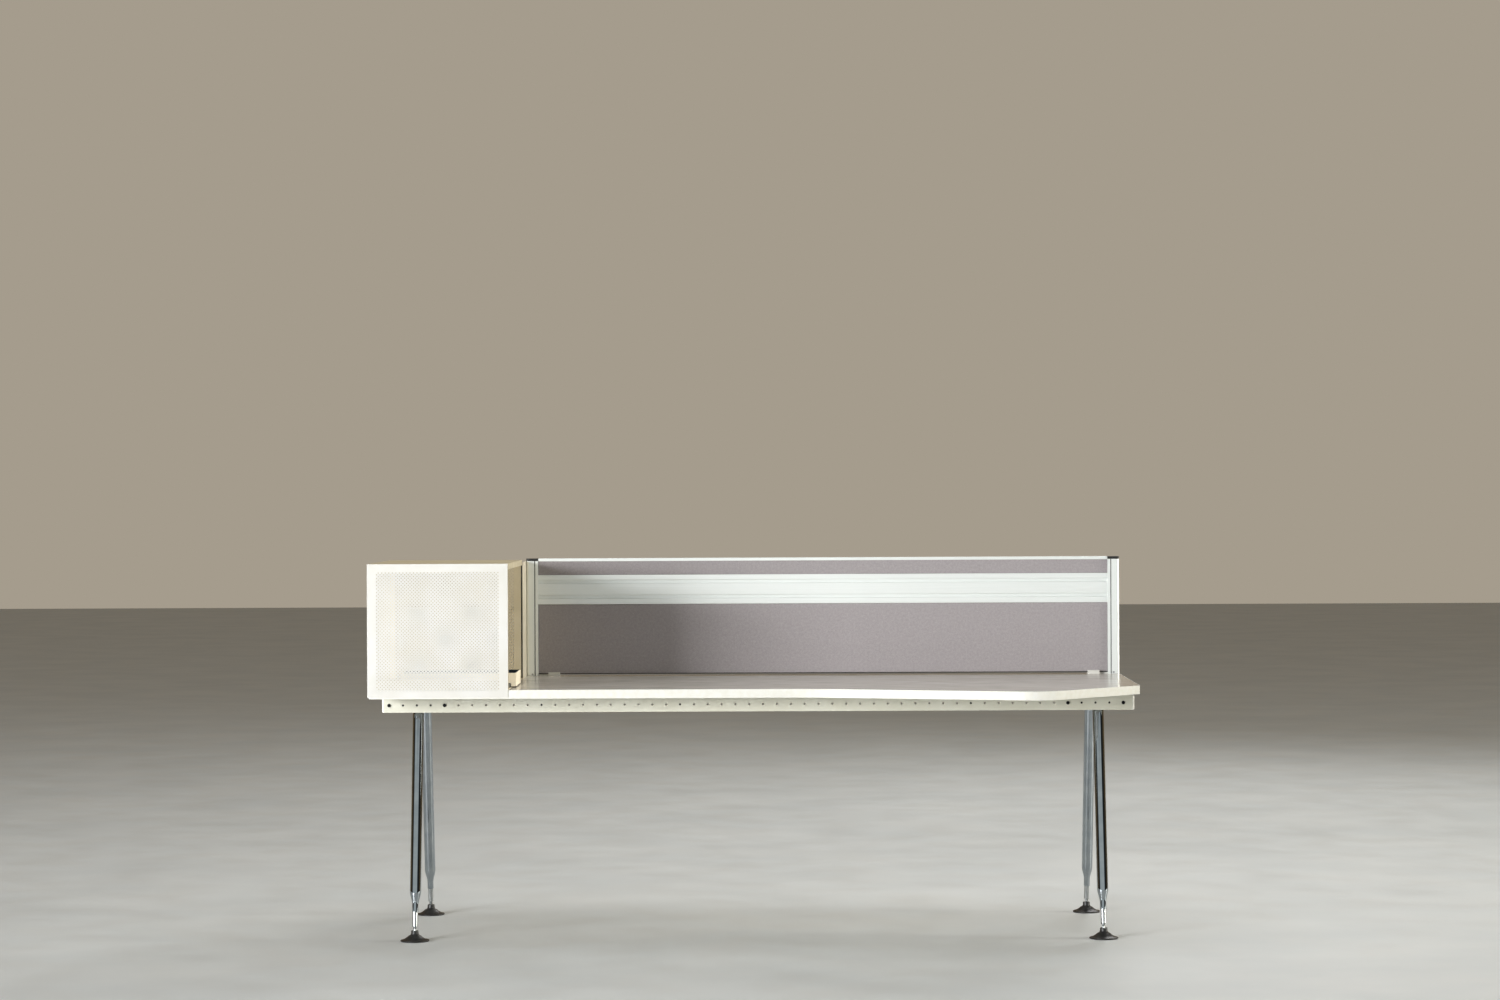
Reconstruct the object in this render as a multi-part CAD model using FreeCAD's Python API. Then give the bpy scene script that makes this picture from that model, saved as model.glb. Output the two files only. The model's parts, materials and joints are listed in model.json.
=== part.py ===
import FreeCAD, Part
import math
import os

# Study desk: a shaped worktop on four splayed legs, with a perforated storage box at its left
# end and a screen with a tool rail along its rear edge.
# Millimetres. +X is the sitter's right, +Y points away from the sitter, +Z is up.
# The origin is on the floor, at the centre of the outline seen from above.

# ------------------------------------------------------------------ driving dimensions
# Worktop
top_height = 720.0          # floor to the writing surface
top_thick = 25.0
top_length = 2218.0         # left end to the right rear corner
top_depth = 798.0           # straight front edge to the rear edge
band_thick = 2.0            # plastic band round the board
bulge_depth = 184.0         # the wide right part stands this far in front of the straight edge
bulge_from_right = 340.0    # centre of the bulge's rounded nose
bulge_radius = 120.0
ramp_from_right = 967.0     # where the front edge starts to run outward
ramp_radius = 600.0
cut_from_front = 105.0      # rear end of the cut corner, behind the straight edge
cut_radius = 20.0
side_flare = 14.0           # the right end widens by this from the cut corner to the rear
corner_radius = 4.0

# Storage box
box_width = 400.0
box_depth = 610.0
box_height = 359.0          # above the worktop
box_lap = 21.0              # the front panel laps down over the worktop's edge
box_overhang = 4.0          # the box stands out past the worktop's left end
sheet = 1.5                 # steel sheet of all the box's panels
frame_flange = 27.0         # inner frame: width of the rim behind the front panel
frame_leg = 25.0            # inner frame: depth of its return
panel_flange = 15.0         # folded edges of the top, side and floor panels
back_inset = 3.5            # the back panel stops short of the open side

# Sliding tray in the box
tray_length = 330.0
tray_depth = 190.0
tray_height = 39.0
tray_from_front = 127.0     # box front to tray front
tray_stand_out = 14.0       # the tray stands out of the open side at rest
tray_wall = 2.0
liner_wall = 2.0
glide_width = 8.0
glide_height = 1.6
runner_height = 12.0

# Screen
screen_gap = 2.0            # between the box and the screen
screen_height = 360.0       # above the worktop
post_width = 36.0
post_depth = 30.0
post_round = 8.0            # outer vertical edges
post_bore = 12.0            # square duct up the middle of the post
post_groove = 3.0           # width of the groove down the post's front
groove_inset = 8.5          # groove to the post's inner edge
cap_height = 8.0
core_thick = 8.0
core_grip = 7.0             # the core board stands in the posts by this
pad_thick = 7.0
rail_height = 90.0          # tool rail
rail_drop = 51.0            # screen top to the tool rail's top
rail_depth = 9.0
slot_drops = (16.0, 62.0)   # tool rail's top to each slot's top
slot_height = 10.5
slot_depth = 6.5
slot_lip = 2.5              # thickness of the lip that hooks catch behind
slot_undercut = 3.0
top_rail_height = 9.0
top_rail_web = 3.0
top_rail_lip = 1.8
pad_gap = 7.0               # worktop to the pads' lower edges
seal_height = 6.0           # dark strip under the core board
grub_radius = 3.0           # set screw low on each post's front
grub_height = 4.5
filler_round = 14.0         # upper front corner of the filler plate

# Screen clamps
clamp_insets = (85.0, 81.0)  # from the screen's left and right ends
clamp_width = 35.0
clamp_block = 11.0          # height of the block on the worktop
clamp_reach = 50.0          # jaw depth, from the back plate's outer face
clamp_plate = 6.0           # back plate and lower jaw
clamp_arm = 4.0             # flat arm under the screen, which runs on to the post
clamp_throat = 26.0         # worktop to the lower jaw
screw_radius = 4.0
screw_pad_radius = 9.0
screw_travel = 12.0
knob_radius = 15.0
knob_height = 16.0

# Beams under the worktop
beam_spread = 419.0         # outer face to outer face
beam_offset = -33.5         # middle of the underframe, from the middle of the worktop's depth
beam_gap = 6.0              # spacers hold the beams off the worktop
spacer_radius = 9.0
beam_height = 42.0
beam_depth = 14.0
beam_wall = 2.5
hole_pitch = 40.0
hole_radius = 3.25
hole_shift = -6.0           # middle of the row of holes, from the middle of the beam
beam_inset = 24.5           # desk's end to the outside of the beam's end cap
beam_cap = 5.5
beam_plug = 7.0             # length of the cap's plug inside the beam
face_groove = 1.2           # shallow lines along the beam's face
face_groove_offsets = (6.0, 14.0)   # either side of the row of holes
top_screw_pitch = 280.0     # screws through the top flange, midway between holes
stretcher_width = 40.0
stretcher_height = 20.0
stretcher_wall = 2.0
stretcher_end = 4.0

# Legs
splay = 12.1                # degrees from vertical
leg_insets = {"front": 126.5, "rear": 114.5}    # desk's end to the leg's axis
leg_setback = 34.0          # leg's axis behind the beam's face, level with the beam's lower edge
leg_radius = 16.0
leg_wall = 2.0
neck_wall = 1.45
neck_low = 82.0             # heights above the floor
neck_high = 101.0
shoulder_high = 141.0
rod_radius = 7.5
rod_low = 41.0
rod_hidden = 180.0          # length of rod inside the leg at rest
stud_radius = 5.0
stud_neck_radius = 4.0
ball_radius = 7.0
ball_height = 20.0
tilt_limit = 15.0           # degrees either side of the stud
pad_radius = 41.0
pad_rim = 4.5
stem_radius = 10.5
stem_high = 31.0
head_holes = 5              # each leg head takes this many of the beam's end holes
head_plate = 6.0
head_half_width = 34.0
head_ear_end = 7.0          # outer hole to the ear's end
head_depth = 66.0
crossbar_width = 40.0
crossbar_height = 26.0
crossbar_wall = 2.0

# Fasteners
screw_shank = 2.5
screw_head = 5.0
screw_head_height = 3.0
screw_bite = 16.0           # length of screw in the worktop
bolt_shank = 3.0
bolt_head = 5.0
bolt_head_height = 3.0

# Clearances
fit = 0.3                   # pieces that slide past or hang over each other
snug = 0.1                  # screws in their holes, tongues in their slots
running = 0.05              # rod in its bore, radial
ball_play = 0.3

# ------------------------------------------------------------------ derived places
length = top_length + box_overhang
x_left = -length / 2 + box_overhang
x_right = length / 2
depth = bulge_depth + top_depth + clamp_plate
y_front = -depth / 2 + bulge_depth
y_rear = y_front + top_depth
z_top = top_height
z_under = z_top - top_thick

box_x = (-length / 2, -length / 2 + box_width)
box_y = (y_front - sheet - fit, y_front - sheet - fit + box_depth)
box_z = (z_top, z_top + box_height)

screen_x = (box_x[1] + screen_gap, x_right)
screen_y = (y_rear - post_depth, y_rear)
screen_top = z_top + screen_height
bay_x = (screen_x[0] + post_width, screen_x[1] - post_width)
core_y = (y_rear - post_depth / 2 - core_thick / 2, y_rear - post_depth / 2 + core_thick / 2)
pads_low = z_top + pad_gap
seal_z = (z_top + clamp_arm + fit, z_top + clamp_arm + fit + seal_height)
pads_high = screen_top - top_rail_web - fit
rail_z = (screen_top - rail_drop - rail_height, screen_top - rail_drop)

beam_z = (z_under - beam_gap - beam_height, z_under - beam_gap)
beam_mid = (y_front + y_rear) / 2 + beam_offset
beam_end = length / 2 - beam_inset - beam_cap
hole_z = beam_z[1] - beam_height / 2
hole_count = 2 * int(beam_end / hole_pitch)
first_hole = hole_shift - (hole_count - 1) * hole_pitch / 2
hole_x = [first_hole + hole_pitch * i for i in range(hole_count)]
stretcher_holes = (11, 21, hole_count - 12)
head_hole_x = {"left": (hole_x[0], hole_x[head_holes - 1]),
               "right": (hole_x[-head_holes], hole_x[-1])}

tilt = math.radians(splay)
neck_radius = rod_radius + running + neck_wall
leg_foot = beam_spread / 2 - leg_setback + (beam_z[0] - ball_height) * math.tan(tilt)

SIDES = {"left": -1, "right": 1}
ROWS = {"front": -1, "rear": 1}


# ------------------------------------------------------------------ helpers
def vec(x, y, z):
    return FreeCAD.Vector(x, y, z)


def block(x, y, z):
    """Box from the low and high ends of its three sides."""
    solid = Part.makeBox(x[1] - x[0], y[1] - y[0], z[1] - z[0])
    solid.translate(vec(x[0], y[0], z[0]))
    return solid


def around(middle, width):
    """The two ends of a side of this width about its middle."""
    return (middle - width / 2, middle + width / 2)


def joined(shapes):
    """One solid from several that touch or cross."""
    return shapes[0].fuse(shapes[1:]).removeSplitter()


def turned(profile):
    """Solid turned about the Z axis from (radius, height) points."""
    points = [vec(radius, 0, height) for radius, height in profile]
    face = Part.Face(Part.makePolygon(points + points[:1]))
    return face.revolve(vec(0, 0, 0), vec(0, 0, 1), 360)


def upright_edges(solid, places):
    """The vertical edges of a solid that stand at the given (x, y) places."""
    found = []
    for edge in solid.Edges:
        low, high = edge.Vertexes[0].Point, edge.Vertexes[-1].Point
        upright = abs(low.x - high.x) + abs(low.y - high.y) < 1e-6
        if upright and any(abs(low.x - x) + abs(low.y - y) < 1e-3 for x, y in places):
            found.append(edge)
    return found


def screw(point, axis, shank, head, head_height, bite):
    """Screw whose head seats at the point; the axis points from the head to the tip."""
    body = Part.makeCylinder(shank, bite, point, axis)
    cap = Part.makeCylinder(head, head_height, point, axis * -1)
    return joined([body, cap])


def upright_bore(radius, x, y, z):
    """Upright cylinder between the low and high ends of z."""
    return Part.makeCylinder(radius, z[1] - z[0], vec(x, y, z[0]))


def save(name, *solids):
    """Write one node: a single solid, or a group of separate solids."""
    shape = solids[0] if len(solids) == 1 else Part.makeCompound(list(solids))
    shape.exportStep("parts/%s.step" % name)


# ------------------------------------------------------------------ worktop
def tangent_point(x, y, cx, cy, radius, turn):
    """Where the line from (x, y) touches a circle; turn is +1 or -1 for its two sides."""
    reach = math.hypot(x - cx, y - cy)
    angle = math.atan2(y - cy, x - cx) + turn * math.acos(radius / reach)
    return vec(cx + radius * math.cos(angle), cy + radius * math.sin(angle), 0)


def worktop_outline():
    """The whole outline as one solid, as thick as the worktop."""
    ramp = vec(x_right - ramp_from_right, y_front, 0)
    cut = vec(x_right - side_flare, y_front + cut_from_front, 0)
    nose = vec(x_right - bulge_from_right, y_front - bulge_depth + bulge_radius, 0)
    nose_start = tangent_point(ramp.x, ramp.y, nose.x, nose.y, bulge_radius, 1)
    nose_end = tangent_point(cut.x, cut.y, nose.x, nose.y, bulge_radius, -1)
    nose_tip = vec(nose.x, nose.y - bulge_radius, 0)
    rear_right = vec(x_right, y_rear, 0)
    rear_left = vec(x_left, y_rear, 0)
    front_left = vec(x_left, y_front, 0)
    edges = [
        Part.makeLine(front_left, ramp),
        Part.makeLine(ramp, nose_start),
        Part.Arc(nose_start, nose_tip, nose_end).toShape(),
        Part.makeLine(nose_end, cut),
        Part.makeLine(cut, rear_right),
        Part.makeLine(rear_right, rear_left),
        Part.makeLine(rear_left, front_left),
    ]
    solid = Part.Face(Part.Wire(edges)).extrude(vec(0, 0, top_thick))
    solid.translate(vec(0, 0, z_under))
    rounds = ((ramp_radius, [ramp]), (cut_radius, [cut]),
              (corner_radius, [rear_right, rear_left, front_left]))
    for radius, corners in rounds:
        places = [(corner.x, corner.y) for corner in corners]
        solid = solid.makeFillet(radius, upright_edges(solid, places))
    return solid


def worktop_screw_places():
    """Screws up through each beam's top flange, midway between beam holes."""
    free = head_hole_x["right"][0] - hole_shift - head_ear_end - screw_head
    reach = int(free / top_screw_pitch)
    xs = [hole_shift + top_screw_pitch * step for step in range(-reach, reach + 1)]
    inset = beam_wall + screw_head + fit
    rows = [beam_mid + side * (beam_spread / 2 - inset) for side in ROWS.values()]
    return [vec(x, y, beam_z[1] - beam_wall) for x in xs for y in rows]


def box_screw_places():
    """Screws down through the box's floor into the worktop."""
    inset = 45.0
    xs = (box_x[0] + inset, box_x[1] - inset)
    ys = (box_y[0] + inset, box_y[1] - inset)
    return [vec(x, y, z_top + sheet) for x in xs for y in ys]


def build_worktop():
    outline = worktop_outline()
    lower = min(outline.Faces, key=lambda face: face.CenterOfMass.z)
    board = lower.makeOffset2D(-band_thick).extrude(vec(0, 0, top_thick))
    band = outline.cut(board)
    bore = screw_shank + snug
    bite = (z_under, z_under + screw_bite)
    holes = [upright_bore(bore, place.x, place.y, bite) for place in worktop_screw_places()]
    holes += [upright_bore(bore, place.x, place.y, (z_top - screw_bite, z_top))
              for place in box_screw_places()]
    holes += [upright_bore(bolt_shank + snug, x, post_bolt_y(), (z_under, z_top))
              for x in post_middles()]
    save("worktop_board", board.cut(Part.makeCompound(holes)))
    save("worktop_edge_band", band)

    fasteners = []
    length_in = beam_wall + beam_gap + screw_bite - snug
    for place in worktop_screw_places():
        fasteners.append(screw(place, vec(0, 0, 1), screw_shank, screw_head, screw_head_height,
                               length_in))
        gap = (beam_z[1], z_under)
        spacer = upright_bore(spacer_radius, place.x, place.y, gap)
        fasteners.append(spacer.cut(upright_bore(bore, place.x, place.y, gap)))
    save("worktop_screws", *fasteners)


# ------------------------------------------------------------------ storage box
def build_box():
    inner_x = (box_x[0] + sheet, box_x[1])
    front = block(box_x, (box_y[0], box_y[0] + sheet), (box_z[0] - box_lap, box_z[1]))
    save("box_front_panel", front)

    rear = (box_y[1] - sheet, box_y[1])
    back_x = (box_x[0], box_x[1] - back_inset)
    body_y = (box_y[0] + sheet, rear[0])
    ceiling = (box_z[1] - sheet, box_z[1])
    flange_y = (body_y[1] - sheet, body_y[1])
    flange_x = (inner_x[0] + panel_flange + fit, back_x[1])
    hem_y = (body_y[0] + frame_leg + fit, flange_y[0] - fit)

    top = joined([
        block(box_x, body_y, ceiling),
        block((box_x[1] - sheet, box_x[1]), hem_y, (ceiling[0] - panel_flange, ceiling[1])),
        block(flange_x, flange_y, (ceiling[0] - panel_flange, ceiling[1])),
    ])
    side = joined([
        block((box_x[0], inner_x[0]), body_y, (box_z[0], ceiling[0])),
        block((box_x[0], inner_x[0] + panel_flange), flange_y, (box_z[0] + sheet, ceiling[0])),
    ])
    floor = joined([
        block(inner_x, (y_front + fit, body_y[1]), (box_z[0], box_z[0] + sheet)),
        block(flange_x, flange_y, (box_z[0], box_z[0] + sheet + panel_flange)),
    ])
    back = block(back_x, rear, box_z)

    # The inner frame: a flat rim behind the front panel, with a return all round.
    ring_x = (inner_x[0], box_x[1] - fit)
    ring_z = (box_z[0] + sheet, ceiling[0])
    ring = block(ring_x, (body_y[0], body_y[0] + frame_leg), ring_z)
    window = [frame_flange, -frame_flange]
    ring = ring.cut(block([a + b for a, b in zip(ring_x, window)],
                          (body_y[0], body_y[0] + frame_leg),
                          [a + b for a, b in zip(ring_z, window)]))
    hollow = [sheet, -sheet]
    ring = ring.cut(block([a + b for a, b in zip(ring_x, hollow)],
                          (body_y[0] + sheet, body_y[0] + frame_leg),
                          [a + b for a, b in zip(ring_z, hollow)]))

    screws = []
    for place in box_screw_places():
        down = vec(0, 0, -1)
        screws.append(screw(place, down, screw_shank, screw_head, screw_head_height, screw_bite))
        floor = floor.cut(Part.makeCylinder(screw_shank + snug, sheet, place, down))
    inset = panel_flange / 2
    lows = [z_top + sheet + inset, ceiling[0] - inset]
    across = [flange_x[0] + inset, (flange_x[0] + flange_x[1]) / 2, flange_x[1] - 2 * inset]
    for place in [vec(x, box_y[1], z) for x in across for z in lows]:
        ahead = vec(0, -1, 0)
        bite = 3 * sheet
        screws.append(screw(place, ahead, screw_shank, screw_head, screw_head_height, bite))
        hole = Part.makeCylinder(screw_shank + snug, bite, place, ahead)
        back, top, floor = back.cut(hole), top.cut(hole), floor.cut(hole)

    trim = block((back_x[1] + fit, box_x[1]), (rear[0], rear[1]), (box_z[0], ceiling[0]))
    save("box_top_panel", top)
    save("box_side_panel", side)
    save("box_floor_panel", floor)
    save("box_back_panel", back)
    save("box_front_frame", ring)
    save("box_screws", *screws)
    save("box_edge_trim", trim)


def build_filler():
    """Plate that closes the space between the box and the left post."""
    x = (screen_x[0] - sheet, screen_x[0])
    plate = block(x, (box_y[1], y_rear), (z_top, screen_top - cap_height))
    corner = [edge for edge in plate.Edges
              if abs(edge.CenterOfMass.y - box_y[1]) < 1e-6
              and abs(edge.CenterOfMass.z - screen_top + cap_height) < 1e-6]
    plate = plate.makeFillet(filler_round, corner)
    flange = block((x[0] - panel_flange - back_inset, x[0]), (box_y[1], box_y[1] + sheet),
                   (z_top + 2 * panel_flange, screen_top - 3 * panel_flange))
    save("filler_plate", joined([plate, flange]))


# ------------------------------------------------------------------ sliding tray
def build_tray():
    x = (box_x[1] + tray_stand_out - tray_length, box_x[1] + tray_stand_out)
    y = (box_y[0] + tray_from_front, box_y[0] + tray_from_front + tray_depth)
    low = z_top + sheet + fit + glide_height
    z = (low, low + tray_height)

    def shell(outset, wall):
        outer = block((x[0] + outset, x[1] - outset), (y[0] + outset, y[1] - outset),
                      (z[0] + outset, z[1]))
        inset = outset + wall
        return outer.cut(block((x[0] + inset, x[1] - inset), (y[0] + inset, y[1] - inset),
                               (z[0] + inset, z[1])))

    save("tray_body", shell(0, tray_wall))
    save("tray_liner", shell(tray_wall, liner_wall))
    glide_z = (z[0] - glide_height, z[0])
    glides = [block(x, (edge, edge + glide_width), glide_z) for edge in (y[0], y[1] - glide_width)]
    save("tray_glides", *glides)

    runner_x = (x[0], box_x[1] - fit)
    floor = z_top + sheet
    runners = []
    for edge, out in ((y[0] - fit, -1), (y[1] + fit, 1)):
        wall_y = sorted((edge, edge + out * sheet))
        base_y = sorted((edge, edge + out * runner_height))
        runners.append(joined([block(runner_x, wall_y, (floor, floor + runner_height)),
                               block(runner_x, base_y, (floor, floor + sheet))]))
    save("tray_runners", *runners)


# ------------------------------------------------------------------ screen
def post_bolt_y():
    """The posts' bolts and ducts stand on the middle of the screen's thickness."""
    return y_rear - post_depth / 2


def post_middles():
    """X of each post's middle, where its bolt stands."""
    return (screen_x[0] + post_width / 2, screen_x[1] - post_width / 2)


def build_posts():
    for name, side in SIDES.items():
        outer = screen_x[0] if side < 0 else screen_x[1]
        inner = outer - side * post_width
        x = sorted((outer, inner))
        post = block(x, screen_y, (z_top, screen_top - cap_height))
        cap = block(x, screen_y, (screen_top - cap_height, screen_top))
        corners = [(outer, y) for y in screen_y]
        post = post.makeFillet(post_round, upright_edges(post, corners))
        cap = cap.makeFillet(post_round, upright_edges(cap, corners))

        grip = block(sorted((inner, inner + side * (core_grip + fit))),
                     (core_y[0] - snug, core_y[1] + snug), (z_top, screen_top - cap_height))
        line_x = inner + side * groove_inset
        groove = block(sorted((line_x, line_x + side * post_groove)),
                       (screen_y[0], screen_y[0] + post_groove), (z_top, screen_top - cap_height))
        duct_x = outer - side * (post_width / 2 - 1)
        duct = block(around(duct_x, post_bore), around(post_bolt_y(), post_bore),
                     (z_top + top_thick, screen_top - cap_height))
        middle = (x[0] + x[1]) / 2
        socket = upright_bore(bolt_shank + snug, middle, post_bolt_y(), (z_top, z_top + top_thick))
        grub = Part.makeCylinder(grub_radius, grub_height, grub_place(middle), vec(0, 1, 0))
        for hollow in (grip, groove, duct, socket, grub):
            post = post.cut(hollow)
        tongue = block(around(duct_x, post_bore - 2 * snug),
                       around(post_bolt_y(), post_bore - 2 * snug),
                       (screen_top - 2 * cap_height, screen_top - cap_height))
        save("screen_post_" + name, post)
        save("post_cap_" + name, joined([cap, tongue]))


def grub_place(middle):
    """Mouth of the set screw's hole, low on the post's front."""
    return vec(middle, screen_y[0], z_top + grub_height)


def build_post_screws():
    """A long screw up through the worktop into the foot of each post, and its set screw."""
    bolts = []
    for x in post_middles():
        bolts.append(screw(vec(x, post_bolt_y(), z_under), vec(0, 0, 1), bolt_shank,
                           2 * bolt_head, bolt_head_height, top_thick + screw_bite))
        bolts.append(Part.makeCylinder(grub_radius - snug, grub_height - snug, grub_place(x),
                                       vec(0, 1, 0)))
    save("post_screws", *bolts)


def build_screen_bay():
    bay = (bay_x[0] + fit, bay_x[1] - fit)
    core_z = (seal_z[1], screen_top - cap_height - fit)
    core = block((bay_x[0] - core_grip, bay_x[1] + core_grip), core_y, core_z)
    save("screen_core_board", core)

    front_y = (core_y[0] - pad_thick, core_y[0])
    save("screen_upper_pad", block(bay, front_y, (rail_z[1], pads_high)))
    save("screen_lower_pad", block(bay, front_y, (pads_low, rail_z[0])))
    save("screen_rear_pad", block(bay, (core_y[1], core_y[1] + pad_thick), (pads_low, pads_high)))

    stack = (front_y[0] - snug, core_y[1] + pad_thick + snug)
    lips = (stack[0] - top_rail_lip, stack[1] + top_rail_lip)
    top_rail = block(bay, lips, (screen_top - top_rail_height, screen_top))
    hollow = block(bay, stack, (screen_top - top_rail_height, screen_top - top_rail_web))
    save("screen_top_rail", top_rail.cut(hollow))

    save("screen_foot_seal", block(bay, core_y, seal_z))

    face = core_y[0] - rail_depth
    rail = block(bay, (face, core_y[0]), rail_z)
    for drop in slot_drops:
        mouth = (rail_z[1] - drop - slot_height, rail_z[1] - drop)
        pocket = (mouth[0], mouth[1] + slot_undercut)
        rail = rail.cut(block(bay, (face, face + slot_depth), mouth))
        rail = rail.cut(block(bay, (face + slot_lip, face + slot_depth), pocket))
    save("screen_tool_rail", rail)


def build_clamps():
    rear = y_rear + clamp_plate
    front = rear - clamp_reach
    jaw_top = z_under - clamp_throat
    jaw_z = (jaw_top - clamp_plate, jaw_top)
    block_rear = core_y[0] - pad_thick - fit
    middles = {"left": screen_x[0] + clamp_insets[0], "right": screen_x[1] - clamp_insets[1]}
    reaches = {"left": bay_x[0] + fit, "right": bay_x[1] - fit}
    for name, middle in middles.items():
        x = around(middle, clamp_width)
        arm_x = (min(x[0], reaches[name]), max(x[1], reaches[name]))
        body = joined([
            block(x, (front, block_rear), (z_top, z_top + clamp_block)),
            block(arm_x, (block_rear, y_rear), (z_top, z_top + clamp_arm)),
            block(x, (block_rear, rear), (z_top, z_top + clamp_arm)),
            block(x, (y_rear, rear), (jaw_z[0], z_top + clamp_arm)),
            block(x, (front, rear), jaw_z),
        ])
        screw_y = (front + y_rear) / 2
        bore = Part.makeCylinder(screw_radius + running, clamp_plate,
                                 vec(middle, screw_y, jaw_z[0]), vec(0, 0, 1))
        save("screen_clamp_" + name, body.cut(bore))

        knob_top = jaw_z[0] - screw_travel
        tip = z_under - fit
        knob = Part.makeCylinder(knob_radius, knob_height,
                                 vec(middle, screw_y, knob_top - knob_height), vec(0, 0, 1))
        knob = knob.makeFillet(knob_height / 8, knob.Edges)
        lobes = 8
        for lobe in range(lobes):
            turn = 2 * math.pi * lobe / lobes
            spot = vec(middle + knob_radius * 1.1 * math.cos(turn),
                       screw_y + knob_radius * 1.1 * math.sin(turn), knob_top - knob_height)
            knob = knob.cut(Part.makeCylinder(knob_radius / 5, knob_height, spot, vec(0, 0, 1)))
        shank = Part.makeCylinder(screw_radius, tip - knob_top,
                                  vec(middle, screw_y, knob_top), vec(0, 0, 1))
        disc = Part.makeCylinder(screw_pad_radius, screw_radius,
                                 vec(middle, screw_y, tip - screw_radius), vec(0, 0, 1))
        save("clamp_screw_" + name, joined([knob, shank, disc]))


# ------------------------------------------------------------------ beams
def beam_face(side):
    """Y of a beam's outer face; side is -1 for the front beam and +1 for the rear one."""
    return beam_mid + side * beam_spread / 2


def build_beams():
    for name, side in ROWS.items():
        face = beam_face(side)

        def inward(near, far):
            return sorted((face - side * near, face - side * far))

        span = (-beam_end, beam_end)
        beam = block(span, inward(0, beam_depth), beam_z)
        beam = beam.cut(block(span, inward(beam_wall, beam_depth),
                              (beam_z[0] + beam_wall, beam_z[1] - beam_wall)))
        for offset in face_groove_offsets:
            for z in (hole_z - offset, hole_z + offset):
                beam = beam.cut(block(span, inward(0, face_groove / 2), around(z, face_groove)))
        holes = [Part.makeCylinder(hole_radius, beam_wall, vec(x, face, hole_z), vec(0, -side, 0))
                 for x in hole_x]
        screw_holes = [Part.makeCylinder(screw_shank + snug, beam_wall, place, vec(0, 0, 1))
                       for place in worktop_screw_places()]
        beam = beam.cut(Part.makeCompound(holes + screw_holes))
        save(name + "_beam", beam)

        for end, way in SIDES.items():
            plate = block(sorted((way * beam_end, way * (beam_end + beam_cap))),
                          inward(0, beam_depth), beam_z)
            rim = [edge for edge in plate.Edges
                   if abs(edge.CenterOfMass.x - way * (beam_end + beam_cap)) < 1e-6]
            plate = plate.makeFillet(0.8 * beam_cap, rim)
            plug = block(sorted((way * (beam_end - beam_plug), way * beam_end)),
                         inward(beam_wall + snug, beam_depth),
                         (beam_z[0] + beam_wall + snug, beam_z[1] - beam_wall - snug))
            save("beam_cap_%s_%s" % (name, end), joined([plate, plug]))


def build_stretchers():
    inner = beam_spread / 2 - beam_wall
    y = (beam_mid - inner, beam_mid + inner)
    z = around(hole_z, stretcher_height)
    for number, index in enumerate(stretcher_holes, start=1):
        x = around(hole_x[index], stretcher_width)
        bar = block(x, y, z)
        bar = bar.cut(block((x[0] + stretcher_wall, x[1] - stretcher_wall),
                            (y[0] + stretcher_end, y[1] - stretcher_end),
                            (z[0], z[1] - stretcher_wall)))
        middle = vec(hole_x[index], y[0], hole_z)
        bar = bar.cut(Part.makeCylinder(bolt_shank + snug, y[1] - y[0], middle, vec(0, 1, 0)))
        save("stretcher_%d" % number, bar)


# ------------------------------------------------------------------ legs
def leg_x(row, way):
    """X of a leg's axis."""
    return way * (length / 2 - leg_insets[row])


def leg_frame(row, way):
    """Placement whose Z axis runs up the leg from the centre of its foot's ball."""
    side = ROWS[row]
    foot = vec(leg_x(row, way), beam_mid + side * leg_foot, ball_height)
    upward = vec(0, -side * math.sin(tilt), math.cos(tilt))
    return FreeCAD.Placement(foot, FreeCAD.Rotation(vec(0, 0, 1), upward))


def along(height):
    """Distance up the leg's axis, from the ball, of a point at this height above the floor."""
    return (height - ball_height) / math.cos(tilt)


def leg_top():
    """Height of the leg's upper end, on its axis."""
    return beam_z[1] - beam_wall - 2 * fit - leg_radius * math.tan(tilt)


def head_inner(side):
    """Y of a leg head's inner face, which the crossbar meets."""
    return beam_face(side) - side * (beam_wall + head_depth)


def build_leg_heads():
    low, high = beam_z[0] + beam_wall + fit, beam_z[1] - beam_wall - fit
    for row, side in ROWS.items():
        near = beam_face(side) - side * beam_wall
        behind = beam_face(side) - side * beam_depth
        for end, way in SIDES.items():
            holes = head_hole_x[end]
            ears = block((holes[0] - head_ear_end, holes[1] + head_ear_end),
                         sorted((near, near - side * head_plate)), (low, high))
            body_x = around(leg_x(row, way), 2 * head_half_width)
            body = block(body_x, sorted((near, head_inner(side))), (low, high))
            skirt = block(body_x, sorted((behind - side * fit, head_inner(side))), (beam_z[0], high))
            skirt = skirt.makeFillet(leg_radius / 2,
                                     upright_edges(skirt, [(x, head_inner(side)) for x in body_x]))
            body = body.common(block(body_x, sorted((near, behind - side * leg_radius)), (low, high)))
            head = joined([ears, body, skirt])
            bore = Part.makeCylinder(leg_radius + running, along(leg_top()) + fit)
            bore.Placement = leg_frame(row, way)
            head = head.cut(bore)
            for x in holes:
                head = head.cut(Part.makeCylinder(bolt_shank + snug, head_plate,
                                                  vec(x, near, hole_z), vec(0, -side, 0)))
            save("leg_head_%s_%s" % (row, end), head)


def build_crossbars():
    y = (head_inner(-1), head_inner(1))
    z = around(hole_z, crossbar_height)
    for end, way in SIDES.items():
        middle = (leg_x("front", way) + leg_x("rear", way)) / 2
        x = around(middle, crossbar_width)
        bar = block(x, y, z)
        wall = crossbar_wall
        save("crossbar_" + end, bar.cut(block((x[0] + wall, x[1] - wall), y,
                                              (z[0] + wall, z[1] - wall))))


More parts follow.
